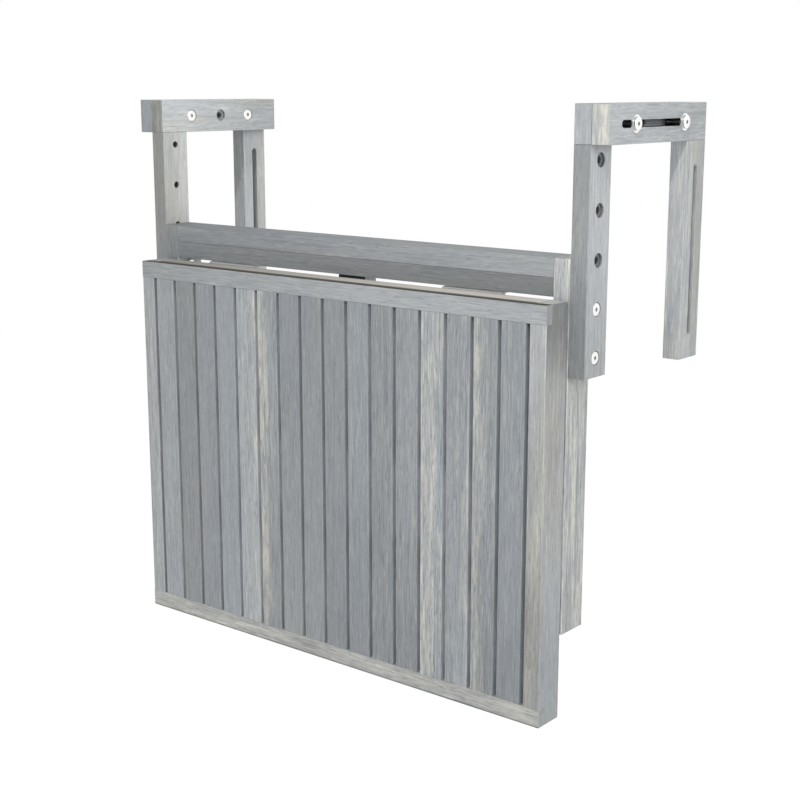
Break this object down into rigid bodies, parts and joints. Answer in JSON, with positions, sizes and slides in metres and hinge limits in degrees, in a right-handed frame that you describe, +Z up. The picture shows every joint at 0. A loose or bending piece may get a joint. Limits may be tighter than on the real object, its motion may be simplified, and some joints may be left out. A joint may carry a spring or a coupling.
{
  "type": "balcony railing bar table",
  "caption": "Folding slatted wooden table leaf hinged to a frame that hangs from a balcony railing by two adjustable wooden hooks.",
  "frame": {"origin": "the middle of the railing's front top edge: the back plane of the front posts, the underside of the arms and the centre plane of the table", "axes": "+X along the railing to the right as the user sees it, +Y away from the user across the railing, +Z up"},
  "size_m": [0.688, 0.2412, 0.6458],
  "materials": {
    "frame_wood": "grey-washed, matt",
    "leaf_wood": "grey-washed, matt",
    "slat_wood": "grey-washed, matt",
    "prop_wood": "grey-washed, matt",
    "dowel_wood": "plain beech",
    "connector_steel": "satin",
    "hinge_steel": "satin"
  },
  "bodies": {
    "frame": {"connector_bolts": "connector_steel", "frame_bottom_rail": "frame_wood", "frame_centre_upright": "frame_wood", "frame_dowels": "dowel_wood", "frame_hinge_rail": "frame_wood", "frame_stile_left": "frame_wood", "frame_stile_right": "frame_wood", "frame_top_rail": "frame_wood", "front_post_left": "frame_wood", "front_post_right": "frame_wood", "hinge_frame_plate_left": "hinge_steel", "hinge_frame_plate_right": "hinge_steel", "hinge_pins": "hinge_steel", "hinge_rail_screws": "hinge_steel", "inner_arm_left": "frame_wood", "inner_arm_right": "frame_wood", "prop_catch_left": "frame_wood", "prop_catch_right": "frame_wood", "sleeve_nuts": "connector_steel", "washers": "connector_steel"},
    "leaf": {"hinge_leaf_plate_left": "hinge_steel", "hinge_leaf_plate_right": "hinge_steel", "leaf_batten_bottom": "leaf_wood", "leaf_batten_top": "leaf_wood", "leaf_cross_batten_lower": "leaf_wood", "leaf_cross_batten_upper": "leaf_wood", "leaf_dowels": "dowel_wood", "leaf_face_rail_bottom": "leaf_wood", "leaf_face_rail_top": "leaf_wood", "leaf_screws": "hinge_steel", "leaf_stile_left": "leaf_wood", "leaf_stile_right": "leaf_wood", "slat_01": "slat_wood", "slat_02": "slat_wood", "slat_03": "slat_wood", "slat_04": "slat_wood", "slat_05": "slat_wood", "slat_06": "slat_wood", "slat_07": "slat_wood", "slat_08": "slat_wood", "slat_09": "slat_wood", "slat_10": "slat_wood", "slat_11": "slat_wood", "slat_12": "slat_wood", "slat_13": "slat_wood", "slat_14": "slat_wood", "slat_15": "slat_wood", "slat_16": "slat_wood"},
    "prop": {"prop_crossbar": "prop_wood", "prop_leg_left": "prop_wood", "prop_leg_right": "prop_wood", "prop_foot_pins": "connector_steel"},
    "left_hook": {"outer_arm_left": "frame_wood", "rear_post_left": "frame_wood", "rear_dowels_left": "dowel_wood"},
    "right_hook": {"outer_arm_right": "frame_wood", "rear_post_right": "frame_wood", "rear_dowels_right": "dowel_wood"}
  },
  "joints": [
    {"name": "leaf_fold", "type": "hinge", "parent": "frame", "child": "leaf", "pos_m": [0, -0.041, -0.15575], "axis": [-1, 0, 0], "range_deg": [0, 90]},
    {"name": "prop_swing", "type": "hinge", "parent": "leaf", "child": "prop", "pos_m": [0, -0.05325, -0.28075], "axis": [1, 0, 0], "range_deg": [0, 133.3]},
    {"name": "left_hook_slide", "type": "slide", "parent": "frame", "child": "left_hook", "axis": [0, 1, 0], "range_m": [0, 0.022]},
    {"name": "right_hook_slide", "type": "slide", "parent": "frame", "child": "right_hook", "axis": [0, 1, 0], "range_m": [0, 0.022]}
  ]
}
